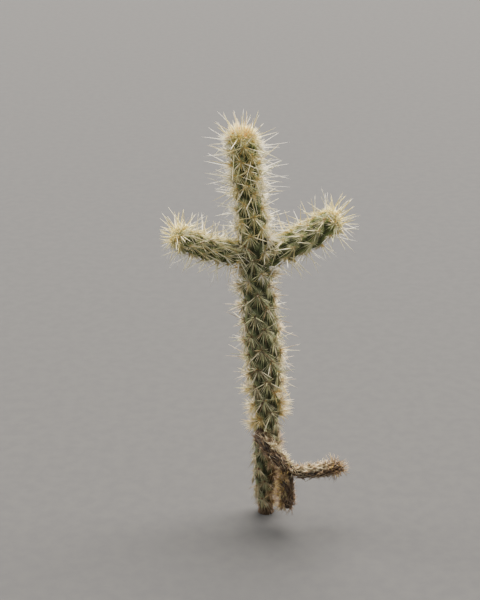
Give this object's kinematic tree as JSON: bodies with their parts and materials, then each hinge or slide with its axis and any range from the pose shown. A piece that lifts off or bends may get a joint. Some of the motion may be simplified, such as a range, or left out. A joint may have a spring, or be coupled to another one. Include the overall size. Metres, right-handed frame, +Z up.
{
  "type": "cholla cactus",
  "caption": "Young cholla cactus rooted in the ground: a leaning upright column of knobbly stem joints, an arm to each side below the top, and a dead limb drooping in front of the foot.",
  "frame": {"origin": "middle of the column's flat foot, at ground level", "axes": "+Z up, +X to the right seen from the front, +Y away from the front"},
  "size_m": [0.1972, 0.0719, 0.476],
  "materials": {
    "old_stem": "satin",
    "young_stem": "satin",
    "dead_stem": "matte",
    "spines": "satin",
    "dead_spines": "matte",
    "areole_wool": "matte"
  },
  "bodies": {
    "root": {"trunk": "old_stem", "upper_stem": "old_stem", "top_joint": "young_stem", "left_arm": "young_stem", "right_arm": "young_stem", "dead_limb": "dead_stem", "dead_far_joint": "dead_stem", "dead_hanging_joint": "dead_stem"}
  },
  "joints": []
}
